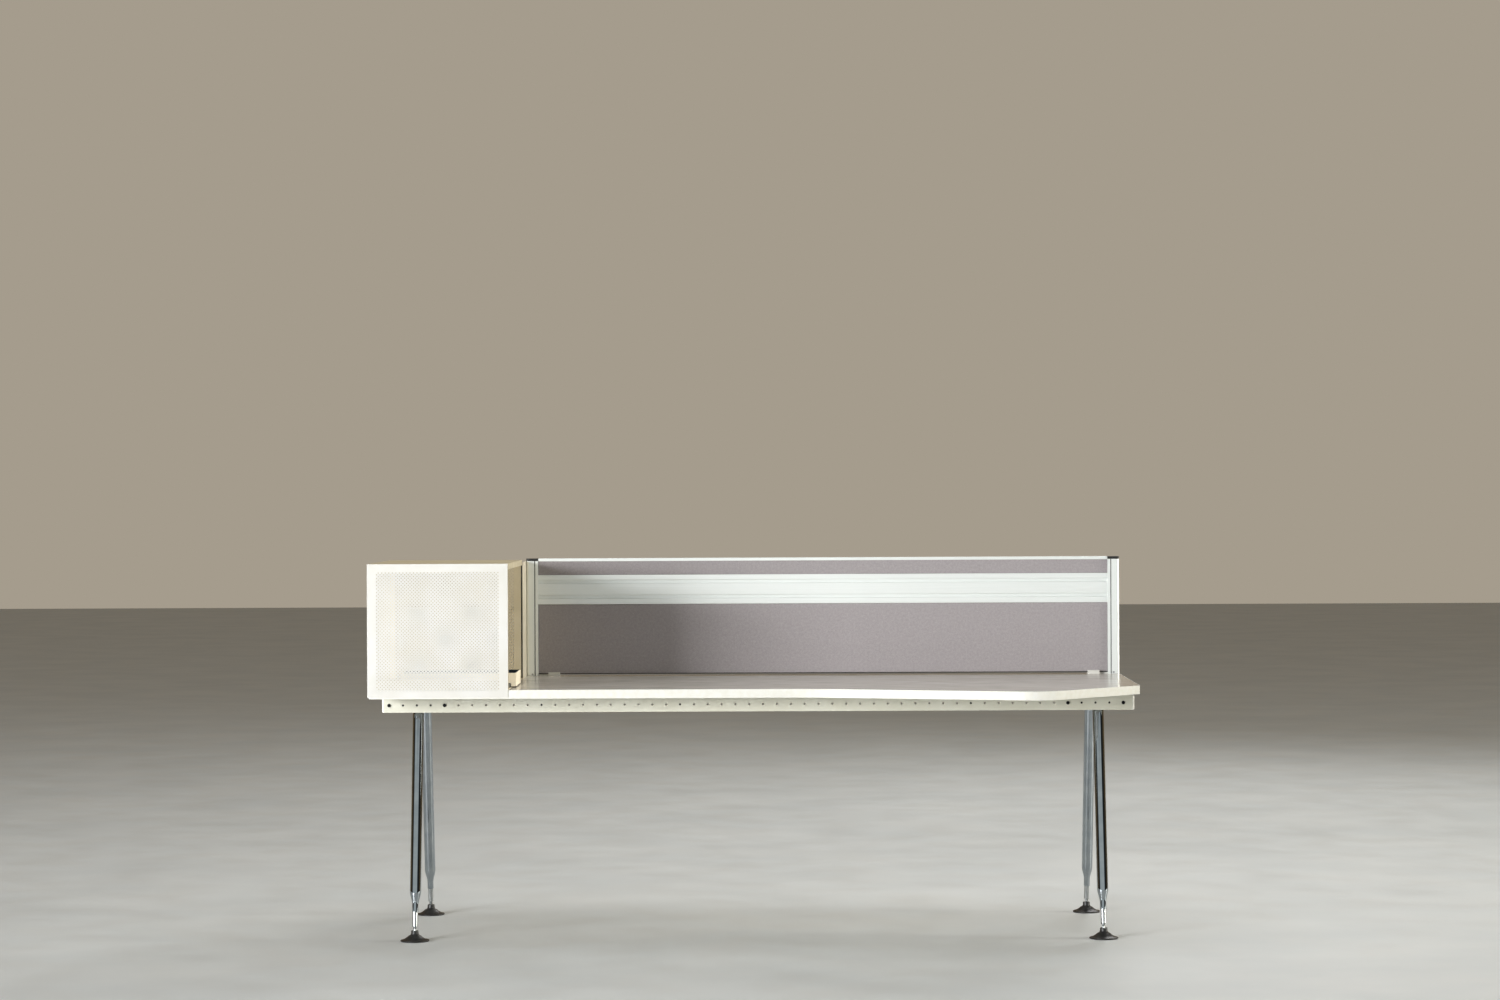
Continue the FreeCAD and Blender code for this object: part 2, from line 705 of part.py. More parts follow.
def build_frame_bolts():
    """Bolts through the leg heads' ears, and screws from the stretchers into the beams."""
    bolts = []
    for side in ROWS.values():
        ahead = vec(0, -side, 0)
        for holes in head_hole_x.values():
            for x in holes:
                seat = vec(x, beam_face(side), hole_z)
                bolts.append(screw(seat, ahead, bolt_shank, bolt_head, bolt_head_height,
                                   beam_wall + head_plate + bolt_head_height))
        for index in stretcher_holes:
            seat = vec(hole_x[index], beam_face(side) - side * (beam_wall + stretcher_end), hole_z)
            bolts.append(screw(seat, vec(0, side, 0), bolt_shank, bolt_head, bolt_head_height,
                               beam_wall + stretcher_end))
    save("frame_bolts", *bolts)


def leg_profile():
    """Half section of the leg: a straight tube that draws in to a neck on two equal arcs."""
    low, neck, shoulder, top = [along(z) for z in (neck_low, neck_high, shoulder_high, leg_top())]
    rise, step = shoulder - neck, leg_radius - neck_radius
    bend = (rise ** 2 + step ** 2) / (4 * step)
    sweep = math.asin(rise / 2 / bend) / 2
    middle = vec((neck_radius + leg_radius) / 2, 0, (neck + shoulder) / 2)
    sag = bend * (1 - math.cos(sweep))
    reach = bend * math.sin(sweep)
    bore = rod_radius + running
    inside = leg_radius - leg_wall
    outer_low = [vec(bore, 0, low), vec(neck_radius, 0, low), vec(neck_radius, 0, neck)]
    outer_high = [vec(leg_radius, 0, shoulder), vec(leg_radius, 0, top), vec(inside, 0, top),
                  vec(inside, 0, shoulder + leg_wall), vec(bore, 0, neck + leg_wall), outer_low[0]]
    lower = Part.Arc(outer_low[-1], vec(neck_radius + sag, 0, neck + reach), middle).toShape()
    upper = Part.Arc(middle, vec(leg_radius - sag, 0, shoulder - reach), outer_high[0]).toShape()
    edges = [Part.makeLine(a, b) for a, b in zip(outer_low, outer_low[1:])]
    edges += [lower, upper]
    edges += [Part.makeLine(a, b) for a, b in zip(outer_high, outer_high[1:])]
    return Part.Face(Part.Wire(edges))


def leg_rod():
    """Rod that slides in the leg, with the foot's stud and ball on its lower end."""
    low, hidden = along(rod_low), along(neck_low) + rod_hidden
    chamfer = 1.0
    neck_end = 2 * ball_radius
    rod = turned([(0, 0), (stud_neck_radius, 0), (stud_neck_radius, neck_end),
                  (stud_radius, neck_end + chamfer), (stud_radius, low),
                  (rod_radius - chamfer, low), (rod_radius, low + chamfer),
                  (rod_radius, hidden - chamfer), (rod_radius - chamfer, hidden), (0, hidden)])
    return joined([rod, Part.makeSphere(ball_radius)])


def foot_pad():
    """Round pad with a stem that holds the ball; its origin is the ball's centre."""
    floor, top = -ball_height, stem_high - ball_height
    pad = turned([(0, floor), (pad_radius - pad_rim / 2, floor), (pad_radius, floor + pad_rim / 2),
                  (pad_radius, floor + pad_rim), (pad_radius * 0.88, floor + 1.7 * pad_rim),
                  (stem_radius * 1.7, -ball_radius * 0.6), (stem_radius * 1.15, 0),
                  (stem_radius, ball_radius * 0.4), (stem_radius, top - 1), (stem_radius - 1, top),
                  (0, top)])
    limit = math.radians(tilt_limit)
    throat = stud_neck_radius / math.cos(limit) + ball_play
    mouth = Part.makeCone(throat, throat + top * math.tan(limit), top)
    return pad.cut(mouth).cut(Part.makeSphere(ball_radius + ball_play))


def build_legs():
    section = leg_profile()
    for row in ROWS:
        for end, way in SIDES.items():
            place = leg_frame(row, way)
            tube = section.revolve(vec(0, 0, 0), vec(0, 0, 1), 360)
            tube.Placement = place
            rod = leg_rod()
            rod.Placement = place
            pad = foot_pad()
            pad.translate(place.Base)
            save("leg_tube_%s_%s" % (row, end), tube)
            save("leg_rod_%s_%s" % (row, end), rod)
            save("foot_pad_%s_%s" % (row, end), pad)


os.makedirs("parts", exist_ok=True)
build_worktop()
build_box()
build_filler()
build_tray()
build_posts()
build_post_screws()
build_screen_bay()
build_clamps()
build_beams()
build_stretchers()
build_leg_heads()
build_crossbars()
build_frame_bolts()
build_legs()
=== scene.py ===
# %% [markdown]
# # A study desk with a screen and a storage box
#
# The desk was designed in CAD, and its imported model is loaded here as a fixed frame. This lesson gives
# every piece its real surface and finish. Some CAD solids are kept and only get a material. Others are
# plain stand-ins, such as the sheets that are really perforated and the screen's fabric pads, and new
# surfaces take their place. Everything is in metres, +X is the sitter's right, +Y points away from the
# sitter, and +Z is up.

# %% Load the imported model
import json
import math

import bmesh
import bpy
import numpy as np
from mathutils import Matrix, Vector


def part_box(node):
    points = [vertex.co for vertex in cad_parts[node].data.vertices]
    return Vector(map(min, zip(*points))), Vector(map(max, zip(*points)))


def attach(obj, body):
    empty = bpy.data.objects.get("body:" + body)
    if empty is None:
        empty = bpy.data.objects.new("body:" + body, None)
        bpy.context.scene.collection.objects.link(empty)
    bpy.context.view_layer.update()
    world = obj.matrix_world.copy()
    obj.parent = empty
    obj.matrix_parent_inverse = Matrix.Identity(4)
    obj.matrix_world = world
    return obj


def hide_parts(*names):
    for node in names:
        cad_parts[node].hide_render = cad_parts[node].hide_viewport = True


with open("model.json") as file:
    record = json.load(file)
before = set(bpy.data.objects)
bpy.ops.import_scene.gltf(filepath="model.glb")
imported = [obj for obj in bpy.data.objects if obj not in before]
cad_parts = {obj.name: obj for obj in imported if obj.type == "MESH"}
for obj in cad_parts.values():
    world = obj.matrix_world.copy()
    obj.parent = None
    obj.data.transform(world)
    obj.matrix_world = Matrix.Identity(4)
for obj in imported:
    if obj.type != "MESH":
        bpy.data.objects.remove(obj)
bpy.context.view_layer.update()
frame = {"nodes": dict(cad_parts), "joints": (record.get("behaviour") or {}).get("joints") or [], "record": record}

MM = 0.001
scene = bpy.context.scene
cad = frame["nodes"]
record = frame["record"]
slot_of = {row["node"]: row["material_slot"] for row in record["subparts"]}
body_of = {node: body for body, group in record["behaviour"]["bodies"].items() for node in group}
joint_of = {joint["name"]: joint for joint in frame["joints"]}
corners = [f"{row}_{side}" for row in ("front", "rear") for side in ("left", "right")]


def box_of(node):
    """Lowest and highest corner of a CAD node, as arrays."""
    low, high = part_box(node)
    return np.array(low), np.array(high)


# %% [markdown]
# ## Camera
#
# A desk 2.2 m long is best seen from far off with a long lens, so that its sides stay parallel. The
# camera stands about 10 m away at the height of a person's chest and looks level along +Y. It is
# rolled by a fraction of a degree, as a camera on a tripod often is.

# %% Make the camera
camera_data = bpy.data.cameras.new("Camera")
camera_data.sensor_width = 36.0
camera_data.lens = 81.1
camera = bpy.data.objects.new("Camera", camera_data)
camera.location = (-0.0214, -9.912, 1.2596)
camera.rotation_euler = (math.radians(89.986), math.radians(0.237), 0.0)
scene.collection.objects.link(camera)
scene.camera = camera
print("camera", [round(v, 3) for v in camera.location], "lens", camera_data.lens, "mm")

# %% [markdown]
# ## Colours and nodes
#
# Paint charts and colour pickers give sRGB codes, but light adds up in linear numbers. So each colour
# is written as the sRGB code that a maker would recognise, and one function turns it to linear. A
# second small function adds a shader node, sets it up and wires it. Every pattern reads Object
# coordinates, which are metres here because each piece's object sits at the origin. A pattern's scale
# is therefore one over its real size.


# %% Colour and node helpers
def linear(code):
    """sRGB hex to linear: c / 12.92 up to 0.04045, and ((c + 0.055) / 1.055) ** 2.4 above it."""
    srgb = np.array([int(code[i:i + 2], 16) for i in (1, 3, 5)]) / 255
    return (*np.where(srgb <= 0.04045, srgb / 12.92, ((srgb + 0.055) / 1.055) ** 2.4), 1.0)


def add(tree, kind, inputs=None, **settings):
    """Adds a node. Its inputs take plain values, or another node's output, which is linked."""
    node = tree.nodes.new(kind)
    for name, value in settings.items():
        setattr(node, name, value)
    for name, value in (inputs or {}).items():
        if isinstance(value, bpy.types.NodeSocket):
            tree.links.new(value, node.inputs[name])
        else:
            node.inputs[name].default_value = value
    return node


def begin(name, **uniform):
    """A material with a shader whose uniform values are set on its own sockets."""
    material = bpy.data.materials.new(name)
    material.use_nodes = True
    tree = material.node_tree
    tree.nodes.clear()
    values = {socket.replace("_", " "): value for socket, value in uniform.items()}
    shader = add(tree, "ShaderNodeBsdfPrincipled", values)
    add(tree, "ShaderNodeOutputMaterial", {"Surface": shader.outputs["BSDF"]})
    place = add(tree, "ShaderNodeTexCoord").outputs["Object"]
    return material, tree, shader, place


def grain(tree, place, size, detail=3.0, stretch=(1.0, 1.0, 1.0)):
    """Noise whose lumps are `size` metres across, drawn out by `stretch` along X, Y and Z."""
    scale = tuple(1.0 / (size * s) for s in stretch)
    spread = add(tree, "ShaderNodeMapping", {"Vector": place, "Scale": scale})
    noise = add(tree, "ShaderNodeTexNoise",
                {"Vector": spread.outputs["Vector"], "Scale": 1.0, "Detail": detail})
    return noise.outputs["Fac"]


def spread_over(tree, value, low, high):
    """Stretches the middle of a noise, 0.35 to 0.65, over the range from low to high."""
    return add(tree, "ShaderNodeMapRange", {"Value": value, "From Min": 0.35, "From Max": 0.65,
                                            "To Min": low, "To Max": high}).outputs["Result"]


def blended(tree, value, first, second):
    """A colour between two codes, by a value from 0 to 1."""
    mix = add(tree, "ShaderNodeMix", {"Factor": value, "A": linear(first), "B": linear(second)},
              data_type="RGBA")
    return mix.outputs["Result"]


def raise_by(tree, shader, value, height, strength=1.0):
    """Bumps the shader's surface by a value times a height in metres."""
    bump = add(tree, "ShaderNodeBump", {"Height": value, "Distance": height, "Strength": strength})
    tree.links.new(bump.outputs["Normal"], shader.inputs["Normal"])


# %% [markdown]
# ## Powder coat
#
# The box, beams, clamps and tray are steel and aluminium sprayed with polyester powder and baked. The
# melt leaves a faint orange peel about a millimetre and a half across, and a satin shine over an even
# colour. Handling leaves very slightly yellower and duller patches. Two noises do that: a fine one
# raises the surface, and a broad one tints it and changes its shine.


# %% Powder coats
def powder_coat(name, colour, aged, roughness):
    """Baked powder: peel about 1.5 mm across and 0.02 mm high, broad tint and shine patches."""
    material, tree, shader, place = begin(name, IOR=1.5)
    patches = spread_over(tree, grain(tree, place, 90 * MM), 0.0, 1.0)
    tree.links.new(blended(tree, patches, colour, aged), shader.inputs["Base Color"])
    shine = spread_over(tree, grain(tree, place, 25 * MM), roughness - 0.05, roughness + 0.06)
    tree.links.new(shine, shader.inputs["Roughness"])
    raise_by(tree, shader, grain(tree, place, 1.5 * MM, 2.0), 0.02 * MM)
    return material


white_powder = powder_coat("White powder coat", "#DBDAD6", "#D6D4CD", 0.42)
# The shell's beige is partly its paint and partly painted shade and warm reflection on the box's top and back.
beige_paint_and_shade = powder_coat("Beige powder coat and painted shade", "#DCD1B4", "#D5C9A9", 0.45)
# Painted shade: a darker matt beige for the inside of the box, where shade falls.
inside_painted_shade = powder_coat("Darker beige painted shade inside the box", "#BDB39A", "#B4A98E", 0.6)
cream_powder = powder_coat("Cream powder coat", "#EBE3CF", "#E4DAC2", 0.45)
ivory_powder = powder_coat("Ivory powder coat", "#D4D3C5", "#CECCBC", 0.40)

# %% [markdown]
# ## Laminate, plastics and rubber
#
# The worktop is faced with high pressure laminate, whose pressed texture is so shallow that the posts
# mirror in it at a low angle. Years of wiping leave soft streaks along its length. The edge band and
# end caps are ABS, a touch whiter and a touch duller. The feet and post caps are black nylon with a
# spark-eroded grain, and the tray is lined with a ribbed rubber mat.


# %% Laminate and plastics
def laminate():
    """Pressed laminate: pits about 0.9 mm across, and wiped streaks 120 mm by 20 mm."""
    material, tree, shader, place = begin("Satin laminate", IOR=1.5)
    cloud = spread_over(tree, grain(tree, place, 160 * MM), 0.0, 1.0)
    tree.links.new(blended(tree, cloud, "#CCC8C0", "#C5C1B9"), shader.inputs["Base Color"])
    streaks = grain(tree, place, 20 * MM, 4.0, (6.0, 1.0, 1.0))
    tree.links.new(spread_over(tree, streaks, 0.16, 0.26), shader.inputs["Roughness"])
    raise_by(tree, shader, grain(tree, place, 0.9 * MM, 2.0), 0.004 * MM)
    return material


def moulded(name, colour, worn, roughness, texture=0.8 * MM, height=0.03 * MM):
    """Moulded plastic: an even colour with slightly paler rubbed patches and an eroded grain."""
    material, tree, shader, place = begin(name, IOR=1.46)
    rubbed = spread_over(tree, grain(tree, place, 14 * MM), 0.0, 1.0)
    tree.links.new(blended(tree, rubbed, colour, worn), shader.inputs["Base Color"])
    tree.links.new(spread_over(tree, grain(tree, place, 8 * MM), roughness - 0.06, roughness + 0.06),
                   shader.inputs["Roughness"])
    raise_by(tree, shader, grain(tree, place, texture, 2.0), height)
    return material


def ribbed_rubber():
    """Dark mat with ribs 4 mm apart: a sine along X, 0.4 mm high, with dust in patches about 12 mm across."""
    material, tree, shader, place = begin("Ribbed rubber mat", IOR=1.5, Roughness=0.7)
    ribs = add(tree, "ShaderNodeTexWave", {"Vector": place, "Scale": 1 / (2 * 4 * MM) * 0.1},
               bands_direction="X")
    dust = spread_over(tree, grain(tree, place, 12 * MM, 5.0), 0.0, 1.0)
    tree.links.new(blended(tree, dust, "#26333A", "#31414A"), shader.inputs["Base Color"])
    raise_by(tree, shader, ribs.outputs["Fac"], 0.4 * MM)
    return material


worktop_laminate = laminate()
white_abs = moulded("White ABS", "#E9E8E1", "#E4E2D8", 0.36)
black_nylon = moulded("Black nylon", "#1B1B1B", "#262625", 0.42)
rubber_mat = ribbed_rubber()

# %% [markdown]
# ## Metals
#
# Aluminium extrusions are drawn through a die, which leaves fine lines along their length, and then
# anodised to a soft silver. The legs are polished and chromed, nearly a mirror with a cool tint. The
# sliding rods are ground steel, the bolts are blackened, and the leg heads are castings in near black,
# which also darkens the beam's end holes in front of them. A metal's look is its reflections, so only
# roughness and tint change from one to the next.


# %% Metals
def anodised(name, stretch):
    """Satin silver with die lines 0.6 mm wide, drawn out along the extrusion."""
    material, tree, shader, place = begin(name, Metallic=0.55, IOR=1.5)
    lines = grain(tree, place, 0.6 * MM, 2.0, stretch)
    tree.links.new(blended(tree, spread_over(tree, lines, 0.0, 1.0), "#F6F9F7", "#F0F4F2"),
                   shader.inputs["Base Color"])
    tree.links.new(spread_over(tree, lines, 0.40, 0.48), shader.inputs["Roughness"])
    raise_by(tree, shader, lines, 0.004 * MM)
    return material


def metal(name, colour, tarnished, roughness, texture, height):
    """Solid or plated metal: a broad tint, a shine that varies by a fifth, and a surface texture."""
    material, tree, shader, place = begin(name, Metallic=1.0)
    tint = spread_over(tree, grain(tree, place, 30 * MM), 0.0, 1.0)
    tree.links.new(blended(tree, tint, colour, tarnished), shader.inputs["Base Color"])
    shine = spread_over(tree, grain(tree, place, 10 * MM, 5.0), 0.8 * roughness, 1.2 * roughness)
    tree.links.new(shine, shader.inputs["Roughness"])
    raise_by(tree, shader, grain(tree, place, texture, 2.0), height)
    return material


silver_rail = anodised("Anodised aluminium, drawn along X", (400.0, 1.0, 1.0))
silver_post = anodised("Anodised aluminium, drawn along Z", (1.0, 1.0, 400.0))
chrome = metal("Polished chrome", "#A8AEB3", "#9BA2A8", 0.03, 60 * MM, 0.01 * MM)
ground_steel = metal("Ground steel", "#AEB1B2", "#A2A6A7", 0.34, 0.5 * MM, 0.004 * MM)
zinc_steel = metal("Zinc plated steel", "#C9CCCE", "#B3B7BA", 0.30, 2.0 * MM, 0.01 * MM)
black_steel = metal("Blackened steel", "#2B2B2D", "#1C1C1E", 0.42, 1.0 * MM, 0.01 * MM)
# The castings are near black, which also darkens the beam's end holes that show them.
die_casting = metal("Near-black die casting", "#2C2D2E", "#242526", 0.55, 1.6 * MM, 0.03 * MM)

# %% [markdown]
# ## Cloth and board
#
# The screen is covered in a wool mix in a plain weave: one thread over, one thread under, each way. The
# warp is greyer and the weft pinker, and together they read as mauve. Two waves at right angles give
# the threads their relief, and their product says which of the two lies on top. The real thread is
# about 0.8 mm; it is drawn 1.6 mm apart here so that it can show. A broader noise is the slub of the
# wool. Inside the screen is a core of particle board, drawn as flat chips.


# %% Cloth and board
def plain_weave():
    """Relief is |sin(pi x / t)| and |sin(pi z / t)| of the two threads, t apart, over and under."""
    material, tree, shader, place = begin("Mauve wool weave", Roughness=0.85, Sheen_Weight=0.25,
                                          Sheen_Roughness=0.5)
    thread = 1.6 * MM
    axes = add(tree, "ShaderNodeSeparateXYZ", {"Vector": place})
    waves = []
    for axis in ("X", "Z"):
        turn = add(tree, "ShaderNodeMath", {0: axes.outputs[axis], 1: math.pi / thread},
                   operation="MULTIPLY")
        waves.append(add(tree, "ShaderNodeMath", {0: turn.outputs[0]}, operation="SINE").outputs[0])
    over = add(tree, "ShaderNodeMath", {0: waves[0], 1: waves[1]}, operation="MULTIPLY").outputs[0]
    slub = grain(tree, place, 7 * MM, 6.0)
    fleck = grain(tree, place, 2.2 * MM, 3.0)
    mixed = add(tree, "ShaderNodeMath", {0: over, 1: 0.18, 2: fleck}, operation="MULTIPLY_ADD")
    weft_shows = spread_over(tree, mixed.outputs[0], 0.0, 1.0)
    threads = blended(tree, weft_shows, "#979294", "#A7A0A2")
    shade = spread_over(tree, slub, 0.93, 1.07)
    colour = add(tree, "ShaderNodeVectorMath", {0: threads, "Scale": shade}, operation="SCALE")
    tree.links.new(colour.outputs["Vector"], shader.inputs["Base Color"])
    raise_by(tree, shader, over, 0.25 * MM)
    return material


def particle_board():
    """Chips about 4 mm across: each cell of a Voronoi pattern takes its own shade of brown."""
    material, tree, shader, place = begin("Particle board", Roughness=0.8)
    chips = add(tree, "ShaderNodeTexVoronoi", {"Vector": place, "Scale": 1 / (4 * MM)})
    shade = add(tree, "ShaderNodeSeparateColor", {"Color": chips.outputs["Color"]})
    tree.links.new(blended(tree, shade.outputs["Red"], "#C7A878", "#A5814F"),
                   shader.inputs["Base Color"])
    raise_by(tree, shader, chips.outputs["Distance"], 0.2 * MM)
    return material


wool_weave = plain_weave()
chip_core = particle_board()

# %% [markdown]
# ## Finish the CAD pieces
#
# The record says what each piece is made of, so one table from the record's slots to these materials
# finishes nearly all the CAD nodes at once. There are a few exceptions. The upright posts' die lines run
# up and not along, and the small screws are zinc plated. The box's shell is beige behind its white
# front, partly its paint and partly painted shade and warm reflection, and the pieces hidden inside
# the box take a darker beige as painted shade.


# %% Give each CAD node its material
finishes = {
    "worktop_laminate": worktop_laminate, "edge_band": white_abs, "box_paint": white_powder,
    "cream_paint": cream_powder, "lining_rubber": rubber_mat, "black_plastic": black_nylon,
    "anodised": silver_rail, "beam_paint": ivory_powder, "screen_fabric": wool_weave,
    "core_board": chip_core, "leg_chrome": chrome, "steel": ground_steel,
    "dark_steel": black_steel, "casting": die_casting,
}
# The shell's beige partly stands for painted shade and warm reflection.
carcass = ("box_back_panel", "box_side_panel", "box_top_panel")
# The pieces hidden inside the box take the darker painted shade.
hidden_inside = ("box_floor_panel", "box_front_frame")
zinc_plated = ("worktop_screws", "box_screws", "tray_runners", "post_screws")


def finish_of(node):
    """The material of a CAD node, and of whatever stands in its place."""
    if node.startswith("screen_post"):
        return silver_post
    if node in carcass:
        return beige_paint_and_shade
    if node in hidden_inside:
        return inside_painted_shade
    if node in zinc_plated:
        return zinc_steel
    return finishes[slot_of[node]]


for node, thing in cad.items():
    thing.data.materials.clear()
    thing.data.materials.append(finish_of(node))
print(len(bpy.data.materials), "materials")

# %% [markdown]
# ## New pieces
#
# A new piece is a mesh whose points already lie where they belong, on an object left at the origin. It
# rides on the same body as the CAD nodes that it stands for, takes the same finish, and hides them.


# %% Make and place a piece
def make(name, points, faces, *stands_for, crease=35.0, hides=True):
    """Mesh from points in metres; edges that turn by more than `crease` degrees stay sharp."""
    mesh = bpy.data.meshes.new(name)
    mesh.from_pydata(np.asarray(points, float).tolist(), [], [list(map(int, face)) for face in faces])
    mesh.shade_smooth()
    mesh.set_sharp_from_angle(angle=math.radians(crease))
    return place_piece(name, mesh, *stands_for, hides=hides)


def place_piece(name, mesh, *stands_for, hides=True):
    """Links the mesh as a piece, on the body and in the finish of the nodes it stands for.

    With hides=False it is an extra detail beside the node, which stays.
    """
    thing = bpy.data.objects.new(name, mesh)
    scene.collection.objects.link(thing)
    mesh.materials.clear()
    mesh.materials.append(finish_of(stands_for[0]))
    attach(thing, body_of[stands_for[0]])
    if hides:
        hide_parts(*stands_for)
    return thing


# %% [markdown]
# ## Perforated sheets
#
# The box's front and back are steel sheet punched with 3.5 mm holes, 10 mm apart in rows 5 mm apart,
# with each row moved on by half a pitch. A texture with transparency could fake them, but real holes
# catch light on their rims and let the inside of the box show. Drilling thousands of holes with
# booleans would be slow and untidy. Instead the sheet is laid out like bricks: each brick is 10 by 5 mm
# with one 12-sided hole, and all bricks are copies of one set of triangles, moved by whole arrays at a
# time.

# %% The brick with a hole
HOLE_PITCH = 10 * MM
ROW_PITCH = 5 * MM
HOLE_RADIUS = 1.75 * MM
SIDE_MARGIN = 22.5 * MM
TOP_MARGIN = 22.5 * MM
LEAST_BOTTOM = 15 * MM


def holed_brick():
    """Triangles between six points of a brick's outline and a 12-sided hole at its centre."""
    turn = np.arange(12) * math.pi / 6
    rim = np.stack([HOLE_PITCH / 2 + HOLE_RADIUS * np.cos(turn),
                    ROW_PITCH / 2 + HOLE_RADIUS * np.sin(turn)], -1)
    across = np.array([1.0, 0.5, 0.0, 0.0, 0.5, 1.0]) * HOLE_PITCH
    up = np.array([1.0, 1.0, 1.0, 0.0, 0.0, 0.0]) * ROW_PITCH
    outline = np.stack([across, up], -1)
    here, after = outline, np.roll(outline, -1, 0)
    first, middle, last = (np.roll(rim, -shift, 0)[::2] for shift in (1, 2, 3))
    fans = [(here, after, middle), (after, last, middle), (here, middle, first)]
    return np.concatenate([np.stack(fan, 1) for fan in fans])


def tiles(xs, zs):
    """Two triangles for each cell of a grid of lines."""
    left, low = (part.ravel() for part in np.meshgrid(xs[:-1], zs[:-1]))
    right, high = (part.ravel() for part in np.meshgrid(xs[1:], zs[1:]))
    a, b, c, d = (np.stack(p, -1) for p in ((left, low), (right, low), (right, high), (left, high)))
    return np.concatenate([np.stack([a, b, c], 1), np.stack([a, c, d], 1)])


# %% [markdown]
# The flat layout is then given its thickness. Every edge that belongs to only one triangle lies on a
# rim, either the sheet's or a hole's, and gets a wall between the front face and the back face.


# %% From a flat layout to a sheet
def perforated_sheet(name, node):
    """Bricks in rows, moved on by half a pitch in every second row, in a plain border."""
    low, high = box_of(node)
    width, height = high[0] - low[0], high[2] - low[2]
    columns = int(round((width - 2 * SIDE_MARGIN) / HOLE_PITCH - 1e-6, 6))
    rows = int(round((height - TOP_MARGIN - LEAST_BOTTOM) / ROW_PITCH, 6))
    bottom = height - TOP_MARGIN - rows * ROW_PITCH

    row, column = np.meshgrid(np.arange(rows), np.arange(columns), indexing="ij")
    moved = (row % 2) * HOLE_PITCH / 2
    corner = np.stack([SIDE_MARGIN + moved + column * HOLE_PITCH, bottom + row * ROW_PITCH], -1)
    bricks = (corner.reshape(-1, 1, 1, 2) + holed_brick()).reshape(-1, 3, 2)

    right = SIDE_MARGIN + (columns + 0.5) * HOLE_PITCH
    odd = bottom + np.arange(rows) * ROW_PITCH
    ends = [tiles([SIDE_MARGIN, SIDE_MARGIN + HOLE_PITCH / 2], [z, z + ROW_PITCH]) for z in odd[1::2]]
    ends += [tiles([right - HOLE_PITCH / 2, right], [z, z + ROW_PITCH]) for z in odd[::2]]
    xs = np.concatenate([[0], np.arange(SIDE_MARGIN, right + 1e-6, HOLE_PITCH / 2), [width]])
    zs = np.concatenate([[bottom], bottom + np.arange(1, rows + 1) * ROW_PITCH])
    border = [tiles([0, SIDE_MARGIN], zs), tiles([right, width], zs),
              tiles(xs, [0, bottom]), tiles(xs, [zs[-1], height])]
    flat = np.concatenate([bricks, *ends, *border])

    keys = np.round(flat.reshape(-1, 2) / (0.01 * MM)).astype(np.int64)
    _, first, index = np.unique(keys, axis=0, return_index=True, return_inverse=True)
    layout = flat.reshape(-1, 2)[first]
    faces = index.reshape(-1, 3)
    count = len(layout)
    edges = np.concatenate([faces[:, [0, 1]], faces[:, [1, 2]], faces[:, [2, 0]]])
    forward, backward = edges @ [count, 1], edges @ [1, count]
    rims = edges[~np.isin(forward, backward)]

    front = np.stack([low[0] + layout[:, 0], np.full(count, low[1]), low[2] + layout[:, 1]], -1)
    back = front + (0, high[1] - low[1], 0)
    walls = np.stack([rims[:, 1], rims[:, 0], rims[:, 0] + count, rims[:, 1] + count], -1)
    sheet = [*faces, *(faces[:, ::-1] + count), *walls]
    print(name, columns * rows, "holes")
    return make(name, np.concatenate([front, back]), sheet, node)


perforated_sheet("box_front_perforated", "box_front_panel")
perforated_sheet("box_back_perforated", "box_back_panel")

# %% [markdown]
# ## Softened edges
#
# No real edge is perfectly sharp: extrusions have half a millimetre of radius, and edge band and
# folded sheet more. That radius is what draws a bright line along a piece. A CAD mesh is a heap of
# loose triangles, so a copy is merged and its flat faces made whole before a Bevel modifier can round
# the edges between them. The posts and their caps also have outer corners with a much larger radius, so
# those edges get a bevel weight and a bevel of their own first.


# %% Round a CAD piece's edges
def upright_corners(mesh, outer):
    """1 for each vertical edge of the mesh that stands at x = outer, and 0 for every other edge."""
    place = np.empty(3 * len(mesh.vertices))
    ends = np.empty(2 * len(mesh.edges), np.int32)
    mesh.vertices.foreach_get("co", place)
    mesh.edges.foreach_get("vertices", ends)
    first, last = place.reshape(-1, 3)[ends.reshape(-1, 2)].transpose(1, 0, 2)
    level = np.abs(first - last) < 0.01 * MM
    return level[:, 0] & level[:, 1] & (np.abs(first[:, 0] - outer) < 0.01 * MM)


def softened(node, radius, segments=2, angle=30.0, corner=0.0, outer=0.0):
    """A merged copy of a CAD node with a rounded edge wherever two faces meet at over `angle`.

    Its vertical edges at x = outer can have a larger radius, `corner`.
    """
    shape = bmesh.new()
    shape.from_mesh(cad[node].data)
    bmesh.ops.remove_doubles(shape, verts=shape.verts, dist=0.001 * MM)
    bmesh.ops.dissolve_limit(shape, angle_limit=math.radians(0.5), verts=shape.verts,
                             edges=shape.edges)
    mesh = bpy.data.meshes.new(node + "_soft")
    shape.to_mesh(mesh)
    shape.free()
    mesh.shade_smooth()
    thing = place_piece(node + "_soft", mesh, node)
    if corner:
        weight = mesh.attributes.new("bevel_weight_edge", "FLOAT", "EDGE")
        weight.data.foreach_set("value", upright_corners(mesh, outer).astype(np.float32))
        column = thing.modifiers.new("Rounded corners", "BEVEL")
        column.width, column.segments, column.limit_method = corner, 6, "WEIGHT"
    bevel = thing.modifiers.new("Rounded edges", "BEVEL")
    bevel.width = radius
    bevel.segments = segments
    bevel.limit_method = "ANGLE"
    bevel.angle_limit = math.radians(angle)
    thing.modifiers.new("Flat faces stay flat", "WEIGHTED_NORMAL")
    return thing


